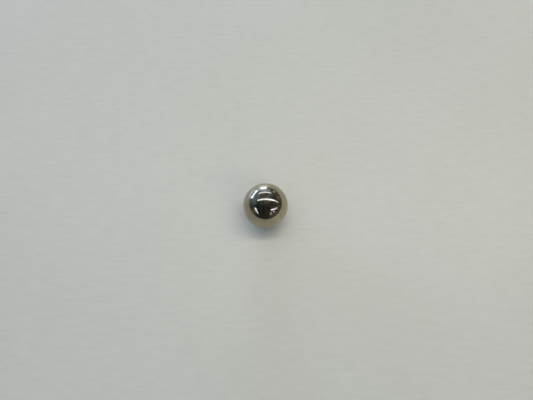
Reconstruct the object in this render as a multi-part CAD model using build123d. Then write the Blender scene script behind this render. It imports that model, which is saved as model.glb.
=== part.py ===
from build123d import *
import os

# A loose steel ball, of the kind that runs in a ball race, clicks in a detent or closes a check valve.
# It is one solid piece, ground and lapped all over, with no flat, hole, seam or edge anywhere.
# Sizes are in millimetres. The origin is at the ball's centre, and +Z is up.

# Size across the ball, the same along every axis.
ball_diameter = 10.0


def make_ball():
    """The ball: a solid true sphere about the origin, with its poles on Z."""
    ball = Sphere(radius=ball_diameter / 2)
    ball.label = "ball"
    return ball


os.makedirs("parts", exist_ok=True)
export_step(make_ball(), "parts/ball.step")
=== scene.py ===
import math

import bpy
from mathutils import Matrix, Vector


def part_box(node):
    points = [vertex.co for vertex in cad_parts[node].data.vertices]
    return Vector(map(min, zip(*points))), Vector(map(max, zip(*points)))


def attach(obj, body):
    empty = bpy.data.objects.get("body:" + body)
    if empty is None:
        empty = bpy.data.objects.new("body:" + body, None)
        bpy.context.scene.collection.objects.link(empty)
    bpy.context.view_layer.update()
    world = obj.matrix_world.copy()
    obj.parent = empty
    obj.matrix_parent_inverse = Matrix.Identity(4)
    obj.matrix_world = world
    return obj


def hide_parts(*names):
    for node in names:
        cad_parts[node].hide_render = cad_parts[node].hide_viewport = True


bl_info = {
    "name": "Polished Steel Ball",
    "version": (1, 0, 0),
    "blender": (4, 5, 0),
    "location": "3D View > Sidebar > Steel Ball",
    "description": "Builds a lapped steel ball with its mirror finish, on a pale floor under soft lamps",
    "category": "Object",
}

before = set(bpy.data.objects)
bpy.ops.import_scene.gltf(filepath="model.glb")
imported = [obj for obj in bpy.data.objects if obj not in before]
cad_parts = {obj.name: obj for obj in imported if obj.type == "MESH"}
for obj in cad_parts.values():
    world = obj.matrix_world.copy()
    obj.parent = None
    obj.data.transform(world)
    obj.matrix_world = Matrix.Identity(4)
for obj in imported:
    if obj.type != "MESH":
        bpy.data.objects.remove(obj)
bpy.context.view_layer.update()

BALL_NODE = "ball"
BALL_PIECE = "steel_ball"
LOWEST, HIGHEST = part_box(BALL_NODE)
BALL_RADIUS = (HIGHEST.z - LOWEST.z) / 2
BALL_CENTRE = Vector((0.0, 0.0, (HIGHEST.z + LOWEST.z) / 2))

# The six faces of the cube that is blown up into a ball: for each, its outward way, its right and its up.
CUBE_FACES = [
    (Vector((1, 0, 0)), Vector((0, 1, 0)), Vector((0, 0, 1))),
    (Vector((-1, 0, 0)), Vector((0, -1, 0)), Vector((0, 0, 1))),
    (Vector((0, 1, 0)), Vector((-1, 0, 0)), Vector((0, 0, 1))),
    (Vector((0, -1, 0)), Vector((1, 0, 0)), Vector((0, 0, 1))),
    (Vector((0, 0, 1)), Vector((1, 0, 0)), Vector((0, 1, 0))),
    (Vector((0, 0, -1)), Vector((1, 0, 0)), Vector((0, -1, 0))),
]
# The turn that spreads points evenly round an axis, one after another.
GOLDEN_TURN = math.pi * (3 - math.sqrt(5))
# The bare rim left round each cube face on the ball's flat map, as a share of the face.
MAP_RIM = 0.01

# The steel's finish, over a ball of radius 1. Clouds are given by their scale, detail and roughness, and an
# edge by where it starts and ends.
HAZE_CLOUDS = (90.0, 3.0, 0.65)
FILM_CLOUDS = (2.3, 4.0, 0.55)
SMEAR_CLOUDS = (7.0, 3.0, 0.6)
MOTTLE_CLOUDS = (11.0, 3.0, 0.6)
FILM_EDGE = (0.50, 0.66)
SMEAR_EDGE = (0.45, 0.75)
# The side of the steel that is painted darker, a painted shade standing in for a darker reflection there:
# its azimuth and elevation in degrees, and how the painted shade fades out.
PAINTED_SHADE_SIDE = (-126, -21)
PAINTED_SHADE_EDGE = (-0.3, 0.75)
# How strongly each mark turns the steel towards the colour of the film or of the pits, and how strongly the
# painted shade on one side turns it towards the film's colour.
FILM_TINT = 0.6
PAINTED_SHADE_TINT = 0.75
MOTTLE_TINT = 1.2
PIT_TINT = 0.7
# How much roughness each mark adds.
HAZE_ROUGHNESS = 0.03
SMEAR_ROUGHNESS = 0.05
SCRATCH_ROUGHNESS = 0.2
PIT_ROUGHNESS = 0.35
# Pits: how many cells there are to a radius, which share of the cells holds none, and the rim of one pit.
PIT_CELLS_PER_RADIUS = 9.0
PITLESS_CELLS = (0.90, 0.91)
PIT_EDGE = (0.055, 0.030)
# Scratches: how far each lane wanders, how much of a line's half width is its full core, strokes to a
# radius, which part of the noise along a lane is a stroke, how near its family's axis a lane fades out, and
# two steps that keep the families and the lanes from repeating each other.
LANE_WANDER = 0.05
LANE_WANDER_SCALE = 1.7
LINE_CORE = 0.35
STROKES_PER_RADIUS = 3.1
STROKE_EDGE = (0.62, 0.70)
AXIS_FADE = (0.85, 0.6)
FAMILY_STEP = 31.7
LANE_STEP = 57.0

# The floor: the streaks of its grain to a metre along each axis, its clouds, how strongly both tint it, how
# pale and dull its colour goes, and how deep the grain is.
STREAKS_PER_METRE = (260.0, 1100.0, 1.0)
GRAIN_CLOUDS = (1.0, 3.0, 0.6)
FLOOR_CLOUDS = (28.0, 2.0, 0.5)
GRAIN_TINT = 0.85
CLOUD_TINT = 0.4
PALE_SHARE = 1.10
DULL_SHARE = 0.90
GRAIN_DEPTH = 0.00001
# The floor's sheen: its roughness near the ball, how much more it has far off, and where the change comes.
NEAR_ROUGHNESS = 0.45
FAR_ROUGHNESS_GAIN = 0.45
SHEEN_EDGE = (0.06, 0.18)

# The photograph's frame in pixels, and the ball's outline in it, fitted to its edge all round.
PICTURE_WIDTH_PX = 533
PICTURE_HEIGHT_PX = 400
BALL_COLUMN_PX = 265.6
BALL_ROW_PX = 205.5
BALL_RADIUS_PX = 22.4

# Each lamp is made twice, in the same direction from the ball. Its bulb lights the floor, and is too fine
# and bright for a camera to hold. Its glow, a little nearer, is what the steel mirrors, as wide and bright
# as a camera shows it.
BULB_SETBACK = 1.1
GLOW_SETBACK = 1.0
# How far off the upright lamps stand, in lamp heights.
UPRIGHT_REACH = 2.0
# Flat lamps overhead: name, left and right, near and far, over the lamp height, then radiance in red,
# green and blue. The radiances of all the bulbs and soft boxes, the upright ones among them, are rounded
# results of a least-squares fit to the light and shadow round the ball in the photograph.
OVERHEAD_BULBS = [
    ("bulb_over_the_ball_left", -0.94, -0.10, 0.264, 0.324, (7.1, 7.5, 9.2)),
    ("bulb_over_the_ball_middle", -0.10, 0.50, 0.264, 0.324, (21.8, 19.9, 17.6)),
    ("bulb_over_the_ball_right", 0.50, 1.10, 0.264, 0.324, (19.3, 18.7, 12.4)),
    ("bulb_on_the_right", 0.58, 1.78, -0.90, -0.83, (22.6, 20.5, 13.9)),
    ("bulb_on_the_left", -1.64, -1.54, -2.10, -0.72, (0.3, 1.0, 18.2)),
    ("soft_box_ahead_left", -1.0, 0.0, 0.0, 1.0, (0.82, 0.66, 0.43)),
    ("soft_box_ahead_right", 0.0, 1.0, 0.0, 1.0, (0.54, 0.53, 0.49)),
    ("soft_box_near_left", -1.0, 0.0, -1.0, 0.0, (0.64, 0.71, 0.52)),
    ("soft_box_near_right", 0.0, 1.0, -1.0, 0.0, (0.50, 0.57, 0.72)),
]
OVERHEAD_GLOWS = [
    ("glow_over_the_ball_1", -0.88, -0.42, 0.205, 0.340, (2.10, 2.27, 2.95)),
    ("glow_over_the_ball_2", -0.42, -0.24, 0.205, 0.340, (2.30, 2.42, 3.40)),
    ("glow_over_the_ball_3", -0.24, -0.05, 0.205, 0.340, (1.82, 1.94, 2.68)),
    ("glow_over_the_ball_4", -0.05, 0.22, 0.205, 0.340, (2.18, 2.30, 3.25)),
    ("glow_over_the_ball_5", 0.22, 0.30, 0.205, 0.340, (2.55, 2.70, 3.95)),
    ("glow_over_the_ball_6", 0.30, 0.92, 0.205, 0.345, (3.05, 3.22, 4.70)),
    ("glow_over_the_ball_7", 0.92, 1.12, 0.220, 0.345, (2.30, 2.50, 3.30)),
    ("glow_over_the_ball_8", 1.12, 1.40, 0.235, 0.355, (1.80, 2.00, 2.40)),
    ("glow_over_the_ball_9", 1.40, 2.15, 0.215, 0.355, (1.75, 1.90, 2.30)),
    ("glow_far_row_1", -0.97, -0.57, 1.28, 1.68, (1.30, 1.45, 1.80)),
    ("glow_far_row_2", -0.57, -0.18, 1.26, 1.66, (1.45, 1.50, 1.60)),
    ("glow_far_row_3", -0.18, 0.18, 1.22, 1.60, (1.55, 1.65, 2.10)),
    ("glow_far_row_4", 0.18, 0.58, 1.22, 1.60, (1.55, 1.65, 2.50)),
    ("glow_far_row_5", 0.58, 0.80, 1.26, 1.66, (0.70, 0.75, 0.85)),
    ("glow_on_the_right_1", 0.66, 1.42, -0.94, -0.76, (2.90, 2.80, 4.60)),
    ("glow_on_the_right_2", 1.42, 2.00, -0.95, -0.70, (1.50, 1.53, 2.20)),
    ("glow_on_the_left_1", -1.73, -1.45, -1.25, -0.66, (3.50, 4.10, 6.00)),
    ("glow_on_the_left_2", -1.73, -1.45, -2.04, -1.25, (2.60, 3.00, 4.30)),
]
# Upright lamps: name, left and right azimuth, lowest and highest elevation in degrees, then radiance.
UPRIGHT_BULBS = [
    ("bulb_ahead", -19.0, 6.0, 1.0, 11.0, (18.0, 23.0, 29.5)),
    ("bulb_on_the_far_left", -62.0, -28.0, 4.0, 9.5, (11.5, 17.0, 28.5)),
]
UPRIGHT_GLOWS = [
    ("glow_ahead", -15.8, 3.2, 0.0, 8.6, (2.80, 3.30, 4.80)),
    ("glow_far_left_1", -37.0, -29.0, 2.5, 13.0, (2.50, 3.10, 4.80)),
    ("glow_far_left_2", -56.0, -37.0, 6.0, 15.5, (1.90, 2.30, 3.60)),
    ("glow_far_left_3", -63.5, -56.0, 3.5, 17.5, (2.60, 3.10, 4.70)),
]
# The dim studio round the ball: its level overhead and at the horizon, how sharply one turns into the
# other, and the soft patches on its walls and ceiling, by azimuth and elevation in degrees, sharpness and
# radiance. The first eight patches are results of a least-squares fit to what the ball mirrors in the
# photograph, with the radiances of the second, third and seventh changed.
DIM_STUDIO_BASE = (0.030, 0.034, 0.042)
DIM_STUDIO_HORIZON = (0.045, 0.045, 0.045)
HORIZON_SHARPNESS = 6
DIM_STUDIO_PATCHES = [
    (-20, 15, 2, (0.135, 0.164, 0.203)),
    (100, 0, 2, (0.060, 0.055, 0.038)),
    (-60, 15, 8, (0.050, 0.140, 0.260)),
    (-120, 15, 40, (0.135, 0.161, 0.117)),
    (20, 75, 16, (0.141, 0.136, 0.098)),
    (60, 15, 100, (0.155, 0.141, 0.100)),
    (140, 0, 16, (0.055, 0.053, 0.047)),
    (-80, 30, 100, (0.122, 0.136, 0.108)),
    (-14, 3, 36, (0.88, 1.18, 1.95)),
    (-4, 16, 100, (0.55, 0.72, 0.90)),
    (12, 20, 200, (0.42, 0.42, 0.28)),
    (33, 13, 600, (1.30, 1.12, 0.75)),
    (134, 26, 900, (2.30, 2.15, 2.40)),
    (151, 30, 600, (1.20, 1.08, 1.10)),
    (153, 23, 500, (0.95, 0.82, 0.75)),
    (110, 24, 600, (0.60, 0.57, 0.55)),
]
# Dim shapes overhead: their clouds, their strength, the lowest share of light left, and how high above the
# horizon they begin.
CLUTTER_CLOUDS = (4.0, 2.0, 0.5)
CLUTTER_STRENGTH = 3.6
CLUTTER_FLOOR = 0.15
CLUTTER_EDGE = (0.25, 0.6)

# How many times nearer and farther than the ball the camera still sees.
CLIP_RATIO = 100


class Wire:
    """A value, vector or colour on its way through a shader. Arithmetic on it adds the nodes for it."""

    def __init__(self, tree, socket=None):
        self.tree = tree
        self.socket = socket

    def node(self, kind, settings=None, inputs=None, output=0):
        """Adds a node: its settings first, then its sockets' values or wires."""
        made = self.tree.nodes.new(kind)
        for name, value in (settings or {}).items():
            setattr(made, name, value)
        for name, value in (inputs or {}).items():
            if isinstance(value, Wire):
                self.tree.links.new(value.socket, made.inputs[name])
            else:
                made.inputs[name].default_value = value
        return Wire(self.tree, made.outputs[output])

    def output(self, name):
        """Another output of the node that this wire comes from."""
        return Wire(self.tree, self.socket.node.outputs[name])

    def math(self, operation, *values):
        """A Math node's result."""
        return self.node("ShaderNodeMath", {"operation": operation}, dict(enumerate(values)))

    def vector_math(self, operation, *values, output="Vector"):
        """A Vector Math node's result, for vectors and colours."""
        return self.node("ShaderNodeVectorMath", {"operation": operation}, dict(enumerate(values)), output)

    def __add__(self, other):
        return self.math("ADD", self, other)

    def __radd__(self, other):
        return self.math("ADD", other, self)

    def __sub__(self, other):
        return self.math("SUBTRACT", self, other)

    def __rsub__(self, other):
        return self.math("SUBTRACT", other, self)

    def __mul__(self, other):
        return self.math("MULTIPLY", self, other)

    def __rmul__(self, other):
        return self.math("MULTIPLY", other, self)

    def __pow__(self, other):
        return self.math("POWER", self, other)

    def __abs__(self):
        return self.math("ABSOLUTE", self)

    def at_least(self, other):
        """The larger of the two."""
        return self.math("MAXIMUM", self, other)

    def along(self, way):
        """How far this vector reaches in a direction."""
        return self.vector_math("DOT_PRODUCT", self, tuple(way), output="Value")

    def unit(self):
        """This vector at length 1."""
        return self.vector_math("NORMALIZE", self)

    def with_glow(self, amount, colour):
        """This colour with an amount of another added to it."""
        return self.vector_math("MULTIPLY_ADD", amount, colour, self)

    def step(self, start, end):
        """0 at start and 1 at end, with a smooth rise or fall between them."""
        return self.node(
            "ShaderNodeMapRange",
            {"interpolation_type": "SMOOTHSTEP"},
            {"Value": self, "From Min": start, "From Max": end, "To Min": 0.0, "To Max": 1.0},
        )

    def blend(self, first, second):
        """The first colour where this is 0, and the second where it is 1."""
        settings = {"data_type": "RGBA", "clamp_factor": True}
        return self.node("ShaderNodeMix", settings, {0: self, 6: first, 7: second}, 2)

    def noise(self, scale, detail=2.0, roughness=0.5):
        """Cloudy noise over this vector, from 0 to 1."""
        return self.node(
            "ShaderNodeTexNoise",
            {"noise_dimensions": "3D"},
            {"Vector": self, "Scale": scale, "Detail": detail, "Roughness": roughness},
            "Fac",
        )


def rgba(colour):
    """A colour with full opacity, as a shader's socket takes it."""
    return (*colour, 1.0)


def new_shader(name):
    """An empty material, its Principled shader and a wire to start from."""
    material = bpy.data.materials.new(name)
    material.use_nodes = True
    tree = material.node_tree
    tree.nodes.clear()
    surface = tree.nodes.new("ShaderNodeBsdfPrincipled")
    output = tree.nodes.new("ShaderNodeOutputMaterial")
    tree.links.new(surface.outputs["BSDF"], output.inputs["Surface"])
    return material, surface, Wire(tree)


def join(wire, shader, socket):
    """Leads a wire into a shader's socket."""
    wire.tree.links.new(wire.socket, shader.inputs[socket])


def direction(azimuth, elevation):
    """A direction from degrees clockwise from ahead, and degrees above the floor."""
    turn, rise = math.radians(azimuth), math.radians(elevation)
    return Vector((math.sin(turn) * math.cos(rise), math.cos(turn) * math.cos(rise), math.sin(rise)))


def spread_direction(index, count):
    """One of a number of directions spread evenly over half of a ball."""
    height = (index + 0.5) / count
    reach = math.sqrt(1 - height * height)
    turn = index * GOLDEN_TURN
    return Vector((reach * math.cos(turn), reach * math.sin(turn), height))


def hairlines(place, index, count, ball):
    """A family of fine straight scratches that all run round one axis, each broken into short strokes."""
    axis = spread_direction(index, count)
    side = axis.orthogonal().normalized()
    wander = (place.noise(LANE_WANDER_SCALE) - 0.5) * LANE_WANDER
    across = place.along(axis) + wander
    lanes = across.node(
        "ShaderNodeTexVoronoi",
        {"voronoi_dimensions": "1D"},
        {
            "W": across * ball.lanes_per_radius + FAMILY_STEP * (index + 1),
            "Scale": 1.0,
            "Randomness": 1.0,
        },
        "Distance",
    )
    lane_name = across.node(
        "ShaderNodeTexWhiteNoise", {"noise_dimensions": "1D"}, {"W": lanes.output("W")}, "Value"
    )
    half_width = ball.scratch_width / BALL_RADIUS * ball.lanes_per_radius / 2
    line = lanes.step(half_width, half_width * LINE_CORE)
    along_lane = place.along(side) * STROKES_PER_RADIUS + lane_name * LANE_STEP
    strokes = along_lane.node(
        "ShaderNodeTexNoise",
        {"noise_dimensions": "1D"},
        {"W": along_lane, "Scale": 1.0, "Detail": 0.0},
        "Fac",
    )
    return line * strokes.step(*STROKE_EDGE) * abs(place.along(axis)).step(*AXIS_FADE)


def steel_material(ball):
    """Bare lapped steel: a mirror with a faint haze, hairlines, a thin film of oil, a few pits and painted
    shade on one side.
    """
    material, surface, start = new_shader("lapped_bearing_steel")
    place = start.node("ShaderNodeTexCoord", output="Object").unit()

    count = ball.scratch_families
    scratches = hairlines(place, 0, count, ball)
    for index in range(1, count):
        scratches = scratches.at_least(hairlines(place, index, count, ball))

    haze = place.noise(*HAZE_CLOUDS) - 0.5
    film = place.noise(*FILM_CLOUDS).step(*FILM_EDGE)
    smear = place.noise(*SMEAR_CLOUDS).step(*SMEAR_EDGE) * film
    # Painted shade: one side of the steel is darkened towards the film's colour, for a darker reflection
    # there.
    painted_shade = place.along(direction(*PAINTED_SHADE_SIDE)).step(*PAINTED_SHADE_EDGE)
    mottle = place.noise(*MOTTLE_CLOUDS) - 0.5

    cells = place.node(
        "ShaderNodeTexVoronoi",
        {"voronoi_dimensions": "3D"},
        {"Vector": place, "Scale": PIT_CELLS_PER_RADIUS},
        "Distance",
    )
    luck = place.node("ShaderNodeSeparateColor", None, {"Color": cells.output("Color")}, "Red")
    pits = cells.step(*PIT_EDGE) * luck.step(*PITLESS_CELLS)

    tint = film * FILM_TINT + painted_shade * PAINTED_SHADE_TINT + mottle * MOTTLE_TINT
    oiled_and_shaded = tint.blend(rgba(ball.steel_colour), rgba(ball.film_and_shade_colour))
    worn = (pits * PIT_TINT).blend(oiled_and_shaded, rgba(ball.pit_colour))
    join(worn, surface, "Base Color")
    polish = ball.gloss_roughness + haze * HAZE_ROUGHNESS + smear * SMEAR_ROUGHNESS
    join(polish + scratches * SCRATCH_ROUGHNESS + pits * PIT_ROUGHNESS, surface, "Roughness")
    surface.inputs["Metallic"].default_value = 1.0
    height = 0.0 - scratches * ball.scratch_depth - pits * ball.pit_depth
    bump = start.node(
        "ShaderNodeBump", None, {"Height": height, "Strength": 1.0, "Distance": 1.0}, "Normal"
    )
    join(bump, surface, "Normal")
    return material


def ball_mesh(side_quads):
    """A ball of even square faces: a cube's faces cut into equal angles and pushed out to the radius."""
    numbers = {}
    points = []
    quads = []
    map_corners = []

    def point(face, column, row):
        """The number of the point at a corner, which a neighbouring face may have made already."""
        outward, right, up = face
        across = math.tan((column / side_quads - 0.5) * math.pi / 2)
        along = math.tan((row / side_quads - 0.5) * math.pi / 2)
        way = (outward + right * across + up * along).normalized()
        key = tuple(round(x, 7) for x in way)
        if key not in numbers:
            numbers[key] = len(points)
            points.append(BALL_CENTRE + way * BALL_RADIUS)
        return numbers[key]

    def on_map(face_number, column, row):
        """The corner's place on the flat map, where the faces lie in two rows of three."""
        inner = 1 - 2 * MAP_RIM
        return (
            (face_number % 3 + MAP_RIM + inner * column / side_quads) / 3,
            (face_number // 3 + MAP_RIM + inner * row / side_quads) / 2,
        )

    for face_number, face in enumerate(CUBE_FACES):
        for row in range(side_quads):
            for column in range(side_quads):
                corners = [(column, row), (column + 1, row), (column + 1, row + 1), (column, row + 1)]
                quads.append([point(face, *corner) for corner in corners])
                map_corners.extend(on_map(face_number, *corner) for corner in corners)
    mesh = bpy.data.meshes.new(BALL_PIECE)
    mesh.from_pydata(points, [], quads)
    layer = mesh.uv_layers.new(name="OFBake")
    for corner, place in zip(layer.uv, map_corners):
        corner.vector = place
    mesh.validate()
    mesh.shade_smooth()
    mesh.normals_split_custom_set_from_vertices([(p - BALL_CENTRE).normalized() for p in points])
    return mesh


class BallSettings(bpy.types.PropertyGroup):
    """What a user may change on the ball."""

    side_quads: bpy.props.IntProperty(
        name="Faces per side",
        description="Square faces along each side of the cube that the ball is blown up from",
        default=80,
        min=8,
        max=128,
    )
    steel_colour: bpy.props.FloatVectorProperty(
        name="Steel",
        description="Colour of the bare lapped steel",
        subtype="COLOR",
        size=3,
        default=(0.465, 0.42, 0.29),
    )
    # The painted shade on one side of the ball also turns the steel towards this colour.
    film_and_shade_colour: bpy.props.FloatVectorProperty(
        name="Oil film",
        description="Colour of the steel under a thin film of oil",
        subtype="COLOR",
        size=3,
        default=(0.375, 0.325, 0.225),
    )
    pit_colour: bpy.props.FloatVectorProperty(
        name="Pits",
        description="Colour of the pinprick pits",
        subtype="COLOR",
        size=3,
        default=(0.10, 0.085, 0.07),
    )
    gloss_roughness: bpy.props.FloatProperty(
        name="Roughness",
        description="Roughness of the lapped surface, where 0 is a perfect mirror",
        default=0.06,
        min=0.0,
        max=1.0,
    )
    scratch_families: bpy.props.IntProperty(
        name="Scratch directions",
        description="Number of directions that the fine scratches run in",
        default=6,
        min=1,
        max=12,
    )
    lanes_per_radius: bpy.props.FloatProperty(
        name="Scratches per radius",
        description="How many lanes of scratches each family has across one ball radius",
        default=14.0,
        min=1.0,
    )
    scratch_width: bpy.props.FloatProperty(
        name="Scratch width",
        description="Width of one scratch",
        default=0.000026,
        min=0.0,
        precision=6,
        unit="LENGTH",
    )
    scratch_depth: bpy.props.FloatProperty(
        name="Scratch depth",
        description="Depth of one scratch",
        default=0.0000009,
        min=0.0,
        precision=8,
        unit="LENGTH",
    )
    pit_depth: bpy.props.FloatProperty(
        name="Pit depth",
        description="Depth of one pinprick pit",
        default=0.000003,
        min=0.0,
        precision=8,
        unit="LENGTH",
    )


class StageSettings(bpy.types.PropertyGroup):
    """What a user may change on the floor, the lamps and the camera."""

    floor_colour: bpy.props.FloatVectorProperty(
        name="Floor",
        description="Colour of the floor under the ball",
        subtype="COLOR",
        size=3,
        default=(0.53, 0.535, 0.50),
    )
    floor_side: bpy.props.FloatProperty(
        name="Floor side",
        description="Length of each side of the square floor",
        default=6.0,
        unit="LENGTH",
    )
    lamp_height: bpy.props.FloatProperty(
        name="Lamp height",
        description="Height of the flat lamps above the ball, with their other distances in proportion",
        default=0.35,
        unit="LENGTH",
    )
    lamp_level: bpy.props.FloatProperty(
        name="Lamp level",
        description="Brightness of all lamps together, set so that a colour renders as it is written",
        default=1.0,
        min=0.0,
    )
    camera_elevation: bpy.props.FloatProperty(
        name="Camera elevation",
        description="How steeply the camera looks down on the ball",
        default=math.radians(73.5),
        subtype="ANGLE",
    )
    camera_distance: bpy.props.FloatProperty(
        name="Camera distance",
        description="Distance from the camera to the ball's centre, in ball radii",
        default=23.0,
        min=2.0,
    )


class BALL_OT_steel_ball(bpy.types.Operator):
    """Add the steel ball with its lapped mirror finish"""

    bl_idname = "steel_ball.add_ball"
    bl_label = "Add Steel Ball"
    bl_options = {"REGISTER", "UNDO"}

    def execute(self, context):
        ball = context.scene.steel_ball_settings
        piece = bpy.data.objects.new(BALL_PIECE, ball_mesh(ball.side_quads))
        context.scene.collection.objects.link(piece)
        piece.data.materials.append(steel_material(ball))
        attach(piece, "root")
        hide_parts(BALL_NODE)
        return {"FINISHED"}


def floor_material(stage):
    """A pale matt surface with a soft sheen and a fine grain that runs from side to side."""
    material, surface, start = new_shader("pale_floor")
    place = start.node("ShaderNodeTexCoord", output="Object")
    stretched = start.node("ShaderNodeMapping", None, {"Vector": place, "Scale": STREAKS_PER_METRE})
    grain = stretched.noise(*GRAIN_CLOUDS) - 0.5
    clouds = place.noise(*FLOOR_CLOUDS) - 0.5
    shade = 0.5 + grain * GRAIN_TINT + clouds * CLOUD_TINT
    pale = tuple(min(1.0, x * PALE_SHARE) for x in stage.floor_colour)
    dull = tuple(x * DULL_SHARE for x in stage.floor_colour)
    join(shade.blend(rgba(dull), rgba(pale)), surface, "Base Color")
    reach = place.vector_math("LENGTH", place, output="Value")
    join(NEAR_ROUGHNESS + reach.step(*SHEEN_EDGE) * FAR_ROUGHNESS_GAIN, surface, "Roughness")
    bump = start.node(
        "ShaderNodeBump", None, {"Height": grain, "Strength": 0.5, "Distance": GRAIN_DEPTH}, "Normal"
    )
    join(bump, surface, "Normal")
    return material


def add_floor(scene, stage):
    """The stage's floor, one flat square under the ball."""
    half = stage.floor_side / 2
    level = LOWEST.z
    corners = [(-half, -half, level), (half, -half, level), (half, half, level), (-half, half, level)]
    mesh = bpy.data.meshes.new("floor")
    mesh.from_pydata(corners, [], [(0, 1, 2, 3)])
    floor = bpy.data.objects.new("floor", mesh)
    scene.collection.objects.link(floor)
    floor.data.materials.append(floor_material(stage))
    return floor


def group(name, members):
    """A collection of objects for lamps to be tied to, apart from the scene's own."""
    collection = bpy.data.collections.new(name)
    for member in members:
        collection.objects.link(member)
    return collection


def add_lamp(scene, name, place, facing, across, width, height, radiance, lit):
    """An oblong lamp of even brightness, which only one collection sees. Its width runs across."""
    lamp = bpy.data.lights.new(name, "AREA")
    lamp.shape = "RECTANGLE"
    lamp.size = width
    lamp.size_y = height
    brightest = max(radiance)
    lamp.color = tuple(x / brightest for x in radiance)
    lamp.energy = brightest * math.pi * width * height
    holder = bpy.data.objects.new(name, lamp)
    scene.collection.objects.link(holder)
    back = -facing.normalized()
    right = across.normalized()
    up = back.cross(right)
    holder.matrix_world = Matrix.Translation(place) @ Matrix((right, up, back)).transposed().to_4x4()
    holder.visible_camera = False
    holder.light_linking.receiver_collection = lit


def add_overhead_lamps(scene, stage, lamps, setback, lit):
    """Flat lamps above the ball that face straight down."""
    height = stage.lamp_height * setback
    for name, left, right, near, far, radiance in lamps:
        place = BALL_CENTRE + Vector(((left + right) / 2, (near + far) / 2, 1.0)) * height
        size = ((right - left) * height, (far - near) * height)
        level = tuple(x * stage.lamp_level for x in radiance)
        add_lamp(scene, name, place, Vector((0, 0, -1)), Vector((1, 0, 0)), *size, level, lit)


def add_upright_lamps(scene, stage, lamps, setback, lit):
    """Upright lamps round the ball that face it."""
    reach = UPRIGHT_REACH * stage.lamp_height * setback
    for name, left, right, low, high, radiance in lamps:
        middle = math.radians((left + right) / 2)
        outward = Vector((math.sin(middle), math.cos(middle), 0.0))
        across = Vector((-math.cos(middle), math.sin(middle), 0.0))
        width = 2 * reach * math.tan(math.radians((right - left) / 2))
        bottom = reach * math.tan(math.radians(low))
        top = reach * math.tan(math.radians(high))
        place = BALL_CENTRE + outward * reach + Vector((0, 0, (bottom + top) / 2))
        level = tuple(x * stage.lamp_level for x in radiance)
        add_lamp(scene, name, place, -outward, across, width, top - bottom, level, lit)


def add_dim_studio(scene):
    """The dim studio that the steel mirrors: nearly black overhead, with soft patches on its walls."""
    world = bpy.data.worlds.new("dim_studio")
    world.use_nodes = True
    tree = world.node_tree
    tree.nodes.clear()
    look = Wire(tree).node("ShaderNodeTexCoord", output="Generated")
    level = 1.0 - abs(look.along((0, 0, 1)))
    shade = (level**HORIZON_SHARPNESS).blend(rgba(DIM_STUDIO_BASE), rgba(DIM_STUDIO_HORIZON))
    for azimuth, elevation, sharpness, radiance in DIM_STUDIO_PATCHES:
        nearness = look.along(direction(azimuth, elevation)).at_least(0.0)
        shade = shade.with_glow(nearness**sharpness, radiance)
    overhead = look.along((0, 0, 1)).step(*CLUTTER_EDGE)
    clutter = 1.0 + (look.noise(*CLUTTER_CLOUDS) - 0.5) * overhead * CLUTTER_STRENGTH
    shade = shade.vector_math("MULTIPLY", shade, clutter.at_least(CLUTTER_FLOOR))
    background = tree.nodes.new("ShaderNodeBackground")
    output = tree.nodes.new("ShaderNodeOutputWorld")
    join(shade, background, "Color")
    tree.links.new(background.outputs["Background"], output.inputs["Surface"])
    scene.world = world


def add_camera(scene, stage):
    """The camera at the photograph's angle, aimed so that the ball lies where it does in the picture."""
    data = bpy.data.cameras.new("camera")
    distance = stage.camera_distance * BALL_RADIUS
    focal_px = BALL_RADIUS_PX * math.sqrt(stage.camera_distance**2 - 1)
    data.sensor_fit = "HORIZONTAL"
    data.lens = data.sensor_width * focal_px / PICTURE_WIDTH_PX
    data.clip_start = distance / CLIP_RATIO
    data.clip_end = distance * CLIP_RATIO
    camera = bpy.data.objects.new("camera", data)
    scene.collection.objects.link(camera)
    elevation = stage.camera_elevation
    back = Vector((0.0, -math.cos(elevation), math.sin(elevation)))
    right = Vector((1.0, 0.0, 0.0))
    up = back.cross(right)
    aim = Matrix((right, up, back)).transposed()
    off_right = math.atan((BALL_COLUMN_PX - PICTURE_WIDTH_PX / 2) / focal_px)
    off_down = math.atan((BALL_ROW_PX - PICTURE_HEIGHT_PX / 2) / focal_px)
    turn = Matrix.Rotation(off_right, 3, "Y") @ Matrix.Rotation(off_down, 3, "X")
    camera.matrix_world = Matrix.Translation(BALL_CENTRE + back * distance) @ (aim @ turn).to_4x4()
    scene.camera = camera


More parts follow.
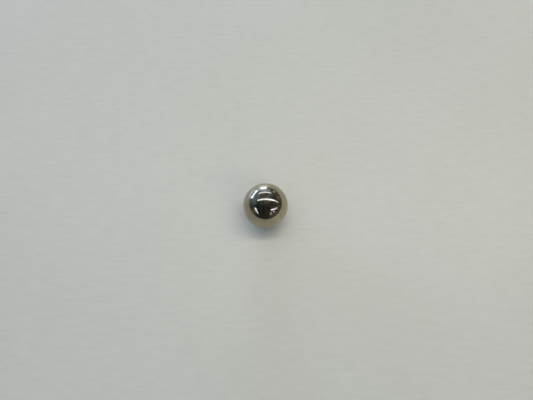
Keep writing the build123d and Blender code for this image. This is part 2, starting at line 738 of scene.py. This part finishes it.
class BALL_OT_stage(bpy.types.Operator):
    """Add the floor, the lamps, the dim studio and the camera"""

    bl_idname = "steel_ball.add_stage"
    bl_label = "Add Stage"
    bl_options = {"REGISTER", "UNDO"}

    def execute(self, context):
        scene = context.scene
        stage = scene.steel_ball_stage
        ball = scene.objects.get(BALL_PIECE)
        if ball is None:
            raise RuntimeError("The stage's lamps are tied to the steel ball, so the ball comes first")
        floor_only = group("lit_by_bulbs", [add_floor(scene, stage)])
        ball_only = group("mirrors_glows", [ball])
        add_overhead_lamps(scene, stage, OVERHEAD_BULBS, BULB_SETBACK, floor_only)
        add_upright_lamps(scene, stage, UPRIGHT_BULBS, BULB_SETBACK, floor_only)
        add_overhead_lamps(scene, stage, OVERHEAD_GLOWS, GLOW_SETBACK, ball_only)
        add_upright_lamps(scene, stage, UPRIGHT_GLOWS, GLOW_SETBACK, ball_only)
        add_dim_studio(scene)
        add_camera(scene, stage)
        scene.view_settings.view_transform = "Standard"
        return {"FINISHED"}


class BALL_PT_panel(bpy.types.Panel):
    """The steel ball's sizes, colours and buttons"""

    bl_idname = "BALL_PT_panel"
    bl_label = "Steel Ball"
    bl_space_type = "VIEW_3D"
    bl_region_type = "UI"
    bl_category = "Steel Ball"

    def draw(self, context):
        scene = context.scene
        for settings in (scene.steel_ball_settings, scene.steel_ball_stage):
            column = self.layout.column()
            for name in settings.bl_rna.properties.keys():
                if name not in ("rna_type", "name"):
                    column.prop(settings, name)
        self.layout.operator(BALL_OT_steel_ball.bl_idname)
        self.layout.operator(BALL_OT_stage.bl_idname)


CLASSES = (BallSettings, StageSettings, BALL_OT_steel_ball, BALL_OT_stage, BALL_PT_panel)


def register():
    """Adds the add-on's classes and its settings to Blender."""
    for kind in CLASSES:
        bpy.utils.register_class(kind)
    bpy.types.Scene.steel_ball_settings = bpy.props.PointerProperty(type=BallSettings)
    bpy.types.Scene.steel_ball_stage = bpy.props.PointerProperty(type=StageSettings)


def unregister():
    """Takes the add-on's classes and its settings out of Blender again."""
    del bpy.types.Scene.steel_ball_stage
    del bpy.types.Scene.steel_ball_settings
    for kind in reversed(CLASSES):
        bpy.utils.unregister_class(kind)


def main():
    """Builds the ball and its stage."""
    register()
    bpy.ops.steel_ball.add_ball()
    bpy.ops.steel_ball.add_stage()


if __name__ == "__main__":
    main()
